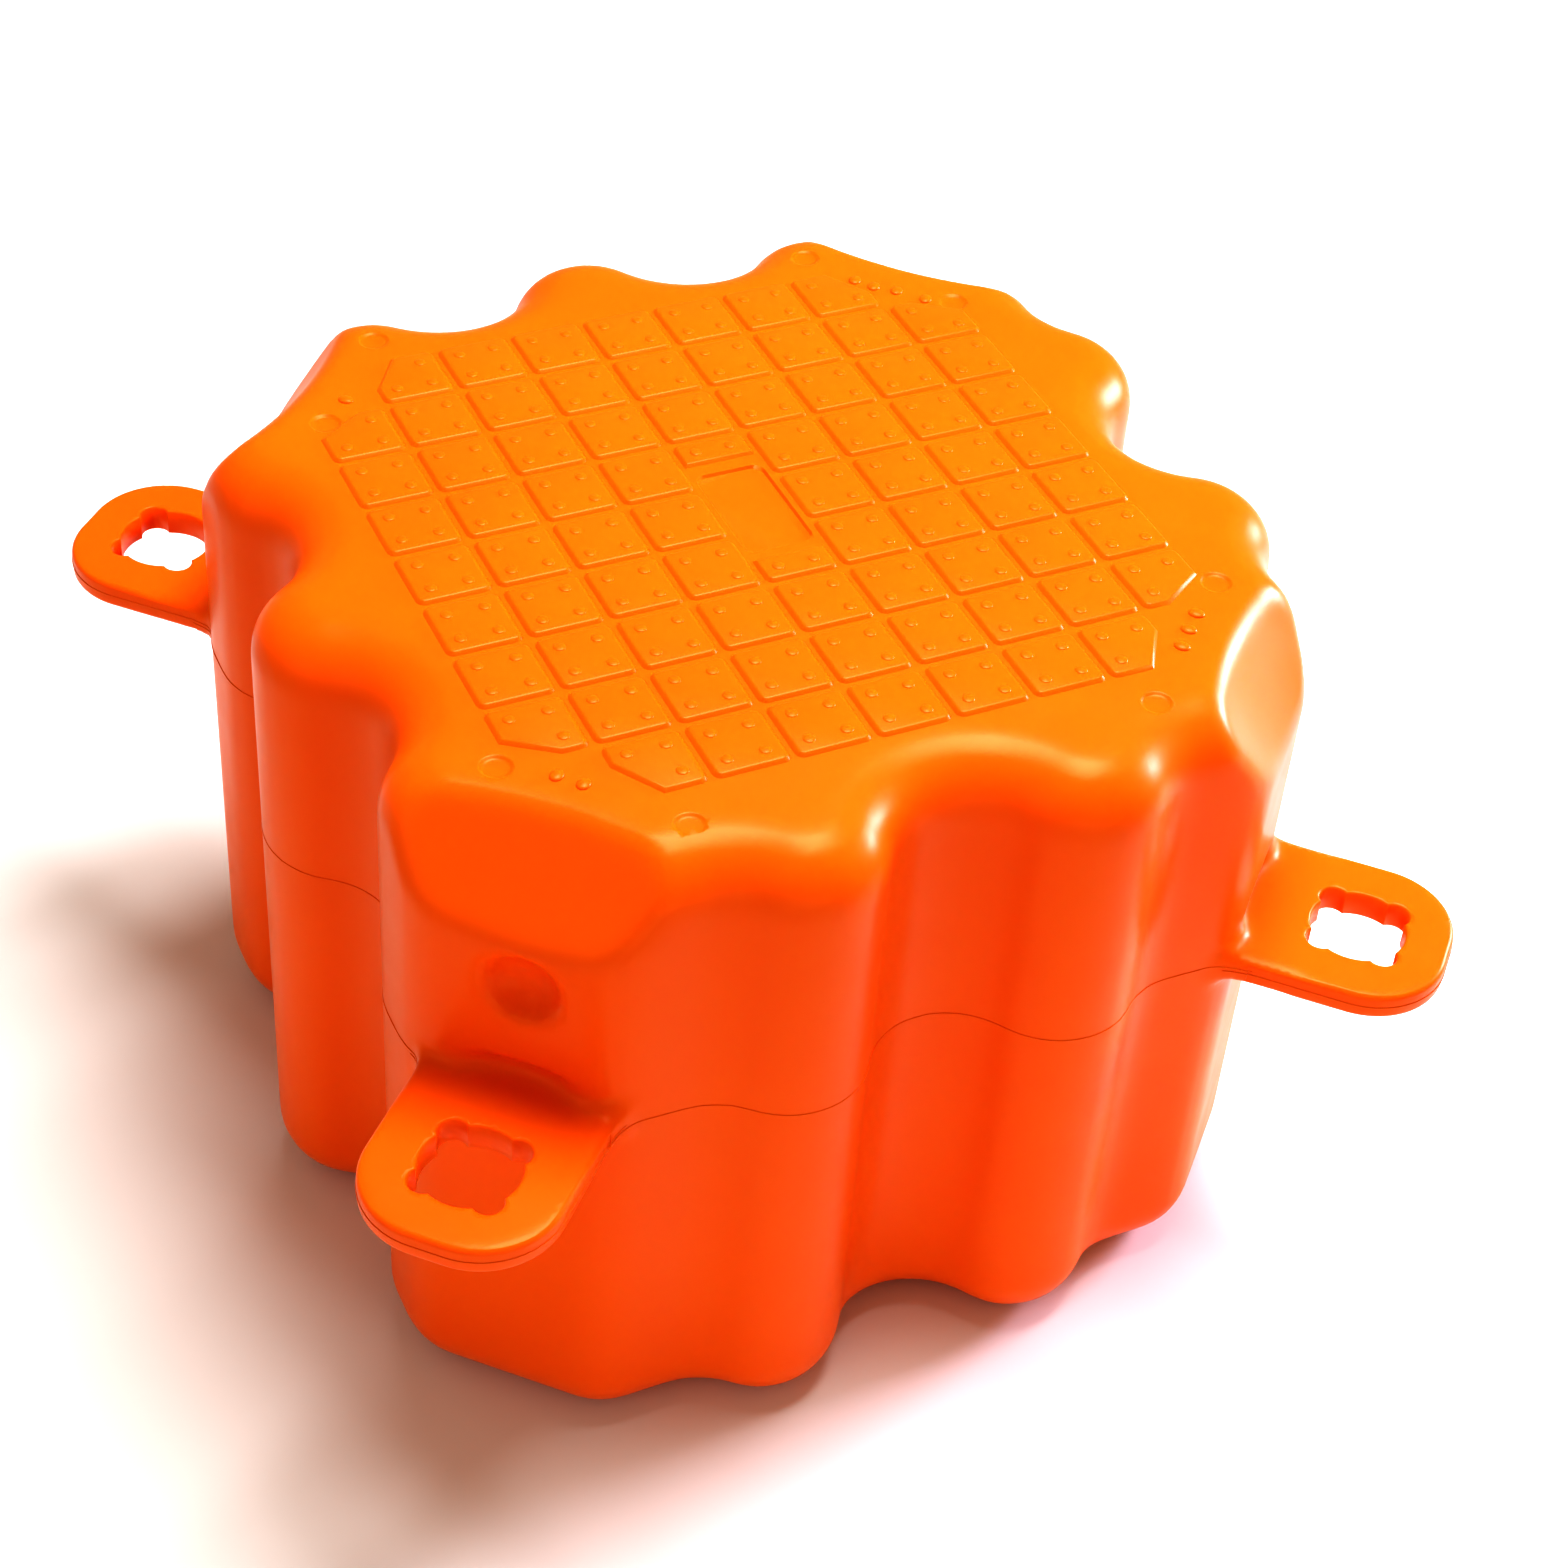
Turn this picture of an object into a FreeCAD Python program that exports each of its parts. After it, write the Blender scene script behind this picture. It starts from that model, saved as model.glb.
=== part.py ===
import FreeCAD, Part
import Sketcher
import math
import os
from FreeCAD import Placement, Rotation, Vector

# Floating dock cube: one closed blow-moulded float with fluted walls, a tiled
# anti-slip deck, four scooped corners and four connecting lugs, one per corner,
# each one lug thickness lower than the last so that four neighbours stack on a pin.
#
# Frame: +Z up, origin in plan at the centre of the four lug holes, z = 0 on the
# underside. The lug holes lie on the diagonals.
#
# The walls at -Y and +X are proud sides, with two crests. The walls at +Y and -X
# are their counterparts, with three crests that nest into a neighbour's troughs.

doc = FreeCAD.newDocument("floating_dock_cube")
dims = doc.addObject("Spreadsheet::Sheet", "dims")

SIZES = (
    ("hole_pitch", 500, "between neighbouring lug holes, side to side of the cube"),
    ("body_height", 400, "underside to tile tops"),
    ("crest_stand", 18, "proud crest beyond the line between two lug holes"),
    ("flute_depth", 43, "proud crest in to the middle trough"),
    ("flute_pitch", 152, "between the two proud crests"),
    ("flat_drop", 24, "proud crest in to the flat beside the corner"),
    ("flat_blend_radius", 42, "crest flank into that flat, in plan"),
    ("nest_gap", 4.5, "between two neighbours' nested walls"),
    ("corner_setback", 56.5, "lug hole centre in to the corner wall"),
    ("corner_radius", 42, "corner wall into side wall, in plan"),
    ("deck_edge_radius", 32, "deck into wall"),
    ("foot_edge_radius", 36, "wall into underside"),
    ("scoop_run", 39, "corner wall in to the scoop's top edge"),
    ("scoop_depth", 58, "deck down to the scoop's lowest point on the wall"),
    ("scoop_radius", 290, "scoop across its slope"),
    ("scoop_edge_radius", 15, "rounding all round the scoop"),
    ("lug_thick", 16, "one lug, and the step from lug to lug"),
    ("lug_drop", 133, "deck down to the top of the highest lug"),
    ("lug_width", 104, "lug across"),
    ("lug_reach", 50, "lug beyond its hole centre"),
    ("lug_corner_radius", 43, "lug's outer corners"),
    ("lug_neck", 44.5, "hole centre in to the start of the root flare"),
    ("lug_flare_radius", 44, "root flare, in plan"),
    ("lug_root_depth", 33, "lug's hidden root inside the corner wall"),
    ("pin_bore_radius", 25.5, "round middle of the lug hole"),
    ("pin_key_radius", 8, "each of the lug hole's four corner lobes"),
    ("pin_key_offset", 16.5, "corner lobe from the hole centre, each way"),
    ("pin_head_radius", 65, "clearance for the pin's head about the lug hole"),
    ("pin_head_height", 14, "clearance for the pin's head above the lug"),
    ("dimple_diameter", 43, "round recess in the front corner wall"),
    ("dimple_depth", 12, "round recess, middle below the corner wall"),
    ("dimple_margin", 5.5, "scoop's lowest point down to the rim of that recess"),
    ("tile_rows", 9, "tiles along one side of the deck"),
    ("tile_pitch", 42.8, "deck tiles, centre to centre"),
    ("tile_gap", 7.6, "groove between tiles"),
    ("tile_height", 2, "tiles above the deck"),
    ("tile_trim_long", 24, "slanted cut beside a missing corner tile, along the row"),
    ("tile_trim_short", 5, "slanted cut beside a missing corner tile, along the groove"),
    ("plate_width", 43, "blank plate in the middle of the deck"),
    ("plate_length", 92, "blank plate, along Y"),
    ("plate_sink", 1.5, "blank plate below the deck"),
)
for row, (alias, value, note) in enumerate(SIZES, start=1):
    dims.set("A%d" % row, note)
    dims.set("B%d" % row, str(value))
    dims.setAlias("B%d" % row, alias)
doc.recompute()


def size(alias):
    return float(dims.get(alias))


DECK = size("body_height") - size("tile_height")
HOLE_REACH = size("hole_pitch") / math.sqrt(2)
CORNER_REACH = HOLE_REACH - size("corner_setback")

# Corners by azimuth, from the highest lug to the lowest.
LEFT, FRONT, RIGHT, BACK = 135, 225, 315, 45
CORNERS = (LEFT, FRONT, RIGHT, BACK)

shell = doc.addObject("PartDesign::Body", "float_body")
shell.Label = "float_body"


# Helpers for sketches and features.


def origin_item(role):
    for feature in shell.Origin.OriginFeatures:
        if feature.Role == role:
            return feature
    raise ValueError(role)


def azimuth(degrees):
    return Rotation(Vector(0, 0, 1), degrees)


def level_sketch(name, height, angle=0.0, out=0.0, expression=None):
    """Sketch on a level plane, its origin moved out from the centre along an azimuth."""
    sketch = shell.newObject("Sketcher::SketchObject", name)
    sketch.AttachmentSupport = [(origin_item("XY_Plane"), "")]
    sketch.MapMode = "FlatFace"
    turn = azimuth(angle)
    sketch.AttachmentOffset = Placement(turn.multVec(Vector(out, 0, height)), turn)
    if expression:
        sketch.setExpression("AttachmentOffset.Base.z", expression)
    return sketch


def line(start, end):
    return Part.LineSegment(Vector(start[0], start[1], 0), Vector(end[0], end[1], 0))


def arc(centre, radius, start, sweep):
    """Arc about centre from the angle start, counter-clockwise when sweep is positive."""
    points = []
    for share in (0, 0.5, 1):
        a = math.radians(start + sweep * share)
        points.append(Vector(centre[0] + radius * math.cos(a), centre[1] + radius * math.sin(a), 0))
    return Part.Arc(*points)


def clockwise(curve):
    """A sketch keeps every arc counter-clockwise, so a clockwise one swaps its ends."""
    if not isinstance(curve, Part.Arc):
        return False
    a, b = curve.StartPoint, curve.EndPoint
    middle = curve.value((curve.FirstParameter + curve.LastParameter) / 2)
    return (middle - a).cross(b - middle).z < 0


def add_loop(sketch, curves):
    """Closed loop of arcs and lines, each joined to the next."""
    first = sketch.GeometryCount
    swapped = [clockwise(curve) for curve in curves]
    sketch.addGeometry(curves, False)
    joints = []
    for index in range(len(curves)):
        following = (index + 1) % len(curves)
        end = 1 if swapped[index] else 2
        start = 2 if swapped[following] else 1
        joints.append(Sketcher.Constraint("Coincident", first + index, end,
                                          first + following, start))
    sketch.addConstraint(joints)


def add_polygon(sketch, points):
    add_loop(sketch, [line(a, b) for a, b in zip(points, points[1:] + points[:1])])


def extrude(kind, name, sketch, length, reverse=False):
    """Pad or Pocket of a sketch. A Pocket cuts downward unless reversed."""
    feature = shell.newObject("PartDesign::" + kind, name)
    feature.Profile = sketch
    feature.setExpression("Length", length)
    feature.Reversed = reverse
    sketch.Visibility = False
    doc.recompute()
    return feature


def fillet(name, base, names, radius):
    feature = shell.newObject("PartDesign::Fillet", name)
    feature.Base = (base, names)
    feature.setExpression("Radius", radius)
    doc.recompute()
    return feature


def round_cut(name, angle, out, up, tilt, radius, height):
    """Round cutter in the vertical plane at an azimuth, its axis leant out from +Z."""
    feature = shell.newObject("PartDesign::SubtractiveCylinder", name)
    feature.AttachmentSupport = [(origin_item("XY_Plane"), "")]
    feature.MapMode = "FlatFace"
    turn = azimuth(angle)
    feature.AttachmentOffset = Placement(turn.multVec(Vector(out, 0, up)),
                                         turn.multiply(Rotation(Vector(0, 1, 0), tilt)))
    feature.setExpression("Radius", radius)
    feature.setExpression("Height", height)
    doc.recompute()
    return feature


def polar_pattern(name, feature):
    pattern = shell.newObject("PartDesign::PolarPattern", name)
    pattern.Originals = [feature]
    pattern.Axis = (origin_item("Z_Axis"), [""])
    pattern.Angle = 360
    pattern.Occurrences = len(CORNERS)
    shell.Tip = pattern
    doc.recompute()
    return pattern


def edge_names(shape, wanted):
    return ["Edge%d" % i for i, edge in enumerate(shape.Edges, start=1)
            if any(edge.isSame(other) for other in wanted)]


def rim(shape, height):
    """Outer edges of the largest level face at a height."""
    level = [face for face in shape.Faces
             if abs(face.BoundBox.ZMin - height) < 0.01 and abs(face.BoundBox.ZMax - height) < 0.01]
    return edge_names(shape, max(level, key=lambda face: face.Area).OuterWire.Edges)


# Plan of the body. Each side is drawn in (u, v): u along it, v outward from the centre.


def flute_arcs(proud):
    """From the middle of a side out to its corner wall, and the point where it ends.

    Crests and troughs share one radius, so that a flank is two equal tangent arcs.
    """
    crest = size("hole_pitch") / 2 + size("crest_stand")
    depth = size("flute_depth")
    drop = size("flat_drop")
    crest_u = size("flute_pitch") / 2
    wave_r = (crest_u ** 2 + depth ** 2) / (4 * depth)
    wave_turn = math.degrees(math.asin(crest_u / (2 * wave_r)))
    blend_r = size("flat_blend_radius")
    blend_turn = math.degrees(math.acos(1 - drop / (wave_r + blend_r)))
    flat_u = crest_u + (wave_r + blend_r) * math.sin(math.radians(blend_turn))
    edge_r = size("corner_radius")
    sign = 1 if proud else -1

    def out(v):
        return v if proud else size("hole_pitch") - size("nest_gap") - v

    flat_v = out(crest - drop)
    edge_u = CORNER_REACH * math.sqrt(2) - flat_v - edge_r * (math.sqrt(2) - 1)
    bend = edge_r * math.sin(math.radians(45))
    steps = [
        ("arc", (0, out(crest - depth) + sign * wave_r), wave_r, -90 * sign, sign * wave_turn),
        ("arc", (crest_u, out(crest) - sign * wave_r), wave_r,
         sign * (90 + wave_turn), -sign * (wave_turn + blend_turn)),
        ("arc", (flat_u, flat_v + sign * blend_r), blend_r,
         sign * (-90 - blend_turn), sign * blend_turn),
        ("line", (flat_u, flat_v), (edge_u, flat_v)),
        ("arc", (edge_u, flat_v - edge_r), edge_r, 90, -45),
    ]
    return steps, (edge_u + bend, flat_v - edge_r + bend)


def placed(u, v, side, flip):
    """Side 0 faces -Y, 1 faces +X, 2 faces +Y, 3 faces -X."""
    return azimuth(90 * side).multVec(Vector(-u if flip else u, -v, 0))


def side_curve(step, side, flip):
    """One step of a side, laid on its side of the body and drawn counter-clockwise."""
    if step[0] == "line":
        ends = [placed(u, v, side, flip) for u, v in step[1:]]
        return Part.LineSegment(*(reversed(ends) if flip else ends))
    _, centre, radius, start, sweep = step
    points = []
    for share in (0, 0.5, 1):
        a = math.radians(start + sweep * share)
        points.append(placed(centre[0] + radius * math.cos(a),
                             centre[1] + radius * math.sin(a), side, flip))
    if flip:
        points.reverse()
    return Part.Arc(*points)


def plan_outline():
    proud_sides = (True, True, False, False)
    curves = []
    for side, proud in enumerate(proud_sides):
        steps, end = flute_arcs(proud)
        following = (side + 1) % 4
        landing = flute_arcs(proud_sides[following])[1]
        curves += [side_curve(step, side, True) for step in reversed(steps)]
        curves += [side_curve(step, side, False) for step in steps]
        curves.append(Part.LineSegment(placed(*end, side, False),
                                       placed(*landing, following, True)))
    return curves


plan = level_sketch("plan", 0)
add_loop(plan, plan_outline())
block = extrude("Pad", "block", plan, "dims.body_height - dims.tile_height")


# Connecting lugs. Each is drawn about its own hole centre, x outward.


def lug_outline():
    half = size("lug_width") / 2
    corner = size("lug_corner_radius")
    end = size("lug_reach") - corner
    flare = size("lug_flare_radius")
    neck = size("lug_neck")
    root = size("corner_setback") + size("lug_root_depth")
    bend = flare * math.sin(math.radians(45))
    spread = half + flare - bend
    return [
        line((-root, -spread), (-neck - bend, -spread)),
        arc((-neck, -half - flare), flare, 135, -45),
        line((-neck, -half), (end, -half)),
        arc((end, corner - half), corner, -90, 90),
        line((end + corner, corner - half), (end + corner, half - corner)),
        arc((end, half - corner), corner, 0, 90),
        line((end, half), (-neck, half)),
        arc((-neck, half + flare), flare, -90, -45),
        line((-neck - bend, spread), (-root, spread)),
        line((-root, spread), (-root, -spread)),
    ]


def hole_outline():
    """Round bore with a lobe at each corner: four lobe arcs between four bore arcs."""
    bore = size("pin_bore_radius")
    key = size("pin_key_radius")
    offset = size("pin_key_offset")
    reach = offset * math.sqrt(2)
    bore_half = math.degrees(math.acos((bore ** 2 + reach ** 2 - key ** 2) / (2 * bore * reach)))
    key_half = 180 - math.degrees(math.acos((key ** 2 + reach ** 2 - bore ** 2) / (2 * key * reach)))
    curves = []
    for middle in (45, 135, 225, 315):
        centre = (reach * math.cos(math.radians(middle)), reach * math.sin(math.radians(middle)))
        curves.append(arc(centre, key, middle - key_half, 2 * key_half))
        curves.append(arc((0, 0), bore, middle + bore_half, 90 - 2 * bore_half))
    return curves


for index, (corner, angle) in enumerate(zip(("left", "front", "right", "back"), CORNERS)):
    level = "dims.body_height - dims.tile_height - dims.lug_drop - %d * dims.lug_thick" % index
    top = DECK - size("lug_drop") - index * size("lug_thick")
    lug = level_sketch("lug_plan_" + corner, top, angle, HOLE_REACH, level)
    add_loop(lug, lug_outline())
    extrude("Pad", "lug_" + corner, lug, "dims.lug_thick", reverse=True)
    round_cut("pin_head_" + corner, angle, HOLE_REACH, top, 0,
              "dims.pin_head_radius", "dims.pin_head_height").setExpression(
                  "AttachmentOffset.Base.z", level)
    hole = level_sketch("hole_plan_" + corner, top, angle, HOLE_REACH, level)
    add_loop(hole, hole_outline())
    extrude("Pocket", "hole_" + corner, hole, "dims.lug_thick")


# Round recess in the front corner wall: a shallow dish.

dish_radius = ((size("dimple_diameter") / 2) ** 2 + size("dimple_depth") ** 2) \
    / (2 * size("dimple_depth"))
dimple_level = DECK - size("scoop_depth") - size("dimple_margin") - size("dimple_diameter") / 2
dimple = shell.newObject("PartDesign::SubtractiveSphere", "dimple")
dimple.AttachmentSupport = [(origin_item("XY_Plane"), "")]
dimple.MapMode = "FlatFace"
dimple.AttachmentOffset = Placement(
    azimuth(FRONT).multVec(Vector(CORNER_REACH - size("dimple_depth") + dish_radius, 0,
                                  dimple_level)), azimuth(FRONT))
dimple.setExpression("Radius", "((dims.dimple_diameter / 2) ^ 2 + dims.dimple_depth ^ 2)"
                               " / (2 * dims.dimple_depth)")
doc.recompute()


# Deck tiles: one tile, patterned both ways, then trimmed at the corners and the plate.

pitch = size("tile_pitch")
gap = size("tile_gap")
near = -(size("tile_rows") * pitch - gap) / 2
far = near + pitch - gap
tile_plan = level_sketch("tile_plan", DECK, 0, 0, "dims.body_height - dims.tile_height")
add_polygon(tile_plan, [(near, near), (far, near), (far, far), (near, far)])
tile = extrude("Pad", "tile", tile_plan, "dims.tile_height")
tiles = shell.newObject("PartDesign::LinearPattern", "tiles")
tiles.Originals = [tile]
tiles.Direction = (origin_item("X_Axis"), [""])
tiles.Direction2 = (origin_item("Y_Axis"), [""])
tiles.setExpression("Length", "(dims.tile_rows - 1) * dims.tile_pitch")
tiles.setExpression("Length2", "(dims.tile_rows - 1) * dims.tile_pitch")
tiles.setExpression("Occurrences", "dims.tile_rows")
tiles.setExpression("Occurrences2", "dims.tile_rows")
shell.Tip = tiles
doc.recompute()

outer = size("tile_rows") / 2 * pitch
inner = outer - pitch
trim_plan = level_sketch("tile_trim_plan", DECK, 0, 0, "dims.body_height - dims.tile_height")
add_polygon(trim_plan, [(outer, outer), (inner - size("tile_trim_long"), outer),
                        (inner, inner + size("tile_trim_short")), (inner, inner),
                        (inner + size("tile_trim_short"), inner),
                        (outer, inner - size("tile_trim_long"))])
trim = extrude("Pocket", "tile_trim", trim_plan, "dims.tile_height", reverse=True)
trims = polar_pattern("tile_trims", trim)

plate_plan = level_sketch("plate_plan", size("body_height"), 0, 0, "dims.body_height")
half_x, half_y = size("plate_width") / 2, size("plate_length") / 2
add_polygon(plate_plan, [(-half_x, -half_y), (half_x, -half_y), (half_x, half_y),
                         (-half_x, half_y)])
plate = extrude("Pocket", "plate", plate_plan, "dims.tile_height + dims.plate_sink")
shell.Tip = plate
doc.recompute()


# Rounded deck and foot edges, once the outline is whole.

foot_edge = fillet("foot_edge", plate, rim(plate.Shape, 0), "dims.foot_edge_radius")
deck_edge = fillet("deck_edge", foot_edge, rim(foot_edge.Shape, DECK), "dims.deck_edge_radius")


# Corner scoops: one round cut that slopes from the deck out through each corner wall.


slope = math.atan2(size("scoop_depth"), size("scoop_run"))
scoop_half = 2 * size("scoop_depth")
scoop_out = CORNER_REACH - size("scoop_run") + size("scoop_radius") * math.sin(slope)
scoop_up = DECK + size("scoop_radius") * math.cos(slope)
scoop = round_cut("scoop", LEFT,
                  scoop_out + scoop_half * math.cos(slope),
                  scoop_up - scoop_half * math.sin(slope),
                  math.degrees(slope) - 90, "dims.scoop_radius", "4 * dims.scoop_depth")
scoops = polar_pattern("scoops", scoop)
scoop_edges = []
for face in scoops.Shape.Faces:
    if isinstance(face.Surface, Part.Cylinder):
        if abs(face.Surface.Radius - size("scoop_radius")) < 0.01:
            scoop_edges += face.Edges
scoop_edge = fillet("scoop_edge", scoops, edge_names(scoops.Shape, scoop_edges),
                    "dims.scoop_edge_radius")


# Checks, then one file for each sub-part.

for item in doc.Objects:
    if "Invalid" in item.State or "Error" in item.State:
        raise RuntimeError("%s did not build: %s" % (item.Name, item.State))
os.makedirs("parts", exist_ok=True)
for part in (shell,):
    if part.Shape.isNull() or not part.Shape.isValid() or len(part.Shape.Solids) != 1:
        raise RuntimeError("%s is not one valid solid" % part.Label)
    part.Shape.exportStep("parts/%s.step" % part.Label)
    print("%s %.3f litres" % (part.Label, part.Shape.Volume / 1e6))
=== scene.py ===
import logging
import math
from dataclasses import dataclass
from enum import Enum
from typing import Callable

import bpy
from mathutils import Matrix, Vector


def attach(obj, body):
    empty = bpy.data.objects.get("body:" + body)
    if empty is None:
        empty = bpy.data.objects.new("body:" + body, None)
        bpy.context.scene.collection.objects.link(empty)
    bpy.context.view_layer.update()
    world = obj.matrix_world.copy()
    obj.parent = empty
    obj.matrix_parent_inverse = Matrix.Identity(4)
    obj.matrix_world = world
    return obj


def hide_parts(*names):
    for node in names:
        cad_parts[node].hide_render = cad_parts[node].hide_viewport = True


# Floating dock cube: a closed orange float, blow-moulded in polyethylene, with
# fluted walls that nest, a tiled deck, scooped corners and four stepped lugs.

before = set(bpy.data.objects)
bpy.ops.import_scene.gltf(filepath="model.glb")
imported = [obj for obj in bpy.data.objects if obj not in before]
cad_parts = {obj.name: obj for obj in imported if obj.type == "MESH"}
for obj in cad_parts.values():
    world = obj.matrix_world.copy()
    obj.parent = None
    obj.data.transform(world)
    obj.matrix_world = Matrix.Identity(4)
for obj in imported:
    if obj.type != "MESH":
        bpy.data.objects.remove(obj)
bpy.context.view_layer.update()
LOG = logging.getLogger("dock_cube")
MM = 0.001
LUG_PITCH = 500 * MM
# The deck lies a little under the solid's, so that the tiles and their bumps
# have their full relief and still stay inside the solid's height.
DECK = 397.4 * MM
# Points closer than MERGE are one point, FLAT is how far a point may lie from
# a flat face's level, and NEAR is how far from the place it is picked by.
MERGE = 0.01 * MM
FLAT = 0.05 * MM
NEAR = 0.1 * MM


class Pick(Enum):
    """What an edit-mode selection is made of."""

    POINTS = "VERT"
    EDGES = "EDGE"
    FACES = "FACE"


class Combine(Enum):
    """What a tool does to the piece that it meets."""

    ADD = "UNION"
    CUT = "DIFFERENCE"


class Corner(Enum):
    """The four corners, each with the signs of X and Y and its lug's step down."""

    LEFT = (-1, 1, 0)
    FRONT = (-1, -1, 1)
    RIGHT = (1, -1, 2)
    BACK = (1, 1, 3)

    def at(self, height: float) -> Vector:
        """Finds the middle of the corner's pin hole in plan.

        Args:
            height: the height of the point.

        Returns:
            The point.
        """
        x, y, _ = self.value
        return Vector((x * LUG_PITCH / 2, y * LUG_PITCH / 2, height))


class Hollow(Enum):
    """Half outlines of a round hollow: shares of its radius and depth, middle first."""

    BOWL = ((0.0, 1.0), (0.35, 0.93), (0.62, 0.74), (0.82, 0.45), (0.95, 0.17))
    SAUCER = ((0.0, 1.0), (0.66, 1.0), (0.78, 0.92), (0.88, 0.6), (0.97, 0.16))


def activate(piece: bpy.types.Object) -> None:
    """Selects one piece alone and makes it active.

    Args:
        piece: the piece.
    """
    bpy.ops.object.select_all(action="DESELECT")
    piece.select_set(True)
    bpy.context.view_layer.objects.active = piece


def pick(piece: bpy.types.Object, kind: Pick,
         choose: Callable[[list[Vector]], bool] = lambda points: True) -> None:
    """Enters edit mode with only the chosen elements selected.

    Args:
        piece: the mesh object to edit.
        kind: points, edges or faces.
        choose: a test on the list of an element's corner points; without one, all are chosen.
    """
    activate(piece)
    bpy.ops.object.mode_set(mode="EDIT")
    bpy.ops.mesh.select_mode(type=kind.value)
    bpy.ops.mesh.select_all(action="DESELECT")
    leave_edit()
    mesh = piece.data
    places = [vertex.co for vertex in mesh.vertices]
    if kind is Pick.POINTS:
        groups = [(vertex, [vertex.co]) for vertex in mesh.vertices]
    else:
        elements = mesh.edges if kind is Pick.EDGES else mesh.polygons
        groups = [(element, [places[i] for i in element.vertices]) for element in elements]
    for element, points in groups:
        element.select = bool(choose(points))
    bpy.ops.object.mode_set(mode="EDIT")


def leave_edit() -> None:
    """Goes back to object mode."""
    bpy.ops.object.mode_set(mode="OBJECT")


def is_upright(points: list[Vector]) -> bool:
    """Tests whether an edge runs along Z.

    Args:
        points: the edge's two ends.

    Returns:
        True for an upright edge.
    """
    return (points[0] - points[1]).xy.length < NEAR


def apply_modifier(piece: bpy.types.Object, kind: str, **settings: object) -> None:
    """Adds a modifier with its settings and applies it.

    Args:
        piece: the mesh object.
        kind: the modifier's type.
        settings: the modifier's own fields.
    """
    activate(piece)
    modifier = piece.modifiers.new(kind.lower(), kind)
    for name, value in settings.items():
        setattr(modifier, name, value)
    bpy.ops.object.modifier_apply(modifier=modifier.name)


def combine(piece: bpy.types.Object, tool: bpy.types.Object, how: Combine) -> None:
    """Adds a tool to a piece or cuts it out of it, and uses the tool up.

    Args:
        piece: the mesh object that is changed.
        tool: the mesh object that changes it.
        how: whether the tool adds or cuts.
    """
    apply_modifier(piece, "BOOLEAN", operation=how.value, object=tool, solver="EXACT")
    discard(tool)


def settle(piece: bpy.types.Object) -> None:
    """Moves a piece's place, turn and scale into its mesh.

    Args:
        piece: the piece.
    """
    activate(piece)
    bpy.ops.object.transform_apply(location=True, rotation=True, scale=True)


def copy_of(piece: bpy.types.Object, name: str, place: Matrix) -> bpy.types.Object:
    """Copies a piece with a mesh of its own.

    Args:
        piece: the piece to copy.
        name: the copy's name.
        place: where the copy goes, worked into its mesh.

    Returns:
        The copy.
    """
    copy = bpy.data.objects.new(name, piece.data.copy())
    bpy.context.scene.collection.objects.link(copy)
    copy.data.transform(place)
    return copy


def join(pieces: list[bpy.types.Object], name: str) -> bpy.types.Object:
    """Joins pieces into the first of them and names it.

    Args:
        pieces: the pieces.
        name: the name of the whole.

    Returns:
        The whole.
    """
    activate(pieces[0])
    for piece in pieces:
        piece.select_set(True)
    bpy.ops.object.join()
    pieces[0].name = name
    return pieces[0]


def discard(piece: bpy.types.Object) -> None:
    """Removes a helper object.

    Args:
        piece: the helper.
    """
    bpy.data.objects.remove(piece, do_unlink=True)


def block(middle: tuple[float, float, float],
          size: tuple[float, float, float]) -> bpy.types.Object:
    """Models a block.

    Args:
        middle: its middle.
        size: its length along X, Y and Z.

    Returns:
        The block.
    """
    bpy.ops.mesh.primitive_cube_add(size=1, location=middle, scale=size)
    piece = bpy.context.object
    settle(piece)
    return piece


def disc(middle: Vector, radius: float, height: float, sides: int) -> bpy.types.Object:
    """Models an upright cylinder.

    Args:
        middle: its middle.
        radius: its radius.
        height: its height.
        sides: the number of its sides.

    Returns:
        The cylinder.
    """
    bpy.ops.mesh.primitive_cylinder_add(vertices=sides, radius=radius, depth=height,
                                        location=middle)
    piece = bpy.context.object
    settle(piece)
    return piece


def dome(middle: Vector, radius: float, stretch: tuple[float, float, float], foot: float,
         detail: tuple[int, int]) -> bpy.types.Object:
    """Models a low dome: a squashed ball, cut off level a little under its middle.

    Args:
        middle: the ball's middle.
        radius: its radius before it is squashed.
        stretch: the share of the radius that is left along X, Y and Z.
        foot: how far under the middle it is cut off.
        detail: the number of the ball's segments and of its rings.

    Returns:
        The dome.
    """
    segments, rings = detail
    bpy.ops.mesh.primitive_uv_sphere_add(segments=segments, ring_count=rings, radius=radius,
                                         location=middle)
    piece = bpy.context.object
    piece.scale = stretch
    settle(piece)
    slice_off(piece, middle - Vector((0, 0, foot)), Vector((0, 0, -1)))
    return piece


def slice_off(piece: bpy.types.Object, place: Vector, normal: Vector) -> None:
    """Takes away what lies beyond a plane and closes the cut.

    Args:
        piece: the mesh object.
        place: a point on the plane.
        normal: the normal of the side that goes.
    """
    pick(piece, Pick.POINTS)
    bpy.ops.mesh.bisect(plane_co=place, plane_no=normal, use_fill=True, clear_outer=True)
    leave_edit()


def linear(hex_colour: str) -> tuple[float, float, float, float]:
    """Turns an sRGB hex colour to linear light.

    Args:
        hex_colour: the colour, such as "F35207".

    Returns:
        Its linear red, green, blue and alpha.
    """
    channels = [int(hex_colour[i:i + 2], 16) / 255 for i in (0, 2, 4)]
    lit = [c / 12.92 if c <= 0.04045 else ((c + 0.055) / 1.055) ** 2.4 for c in channels]
    return (lit[0], lit[1], lit[2], 1.0)


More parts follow.
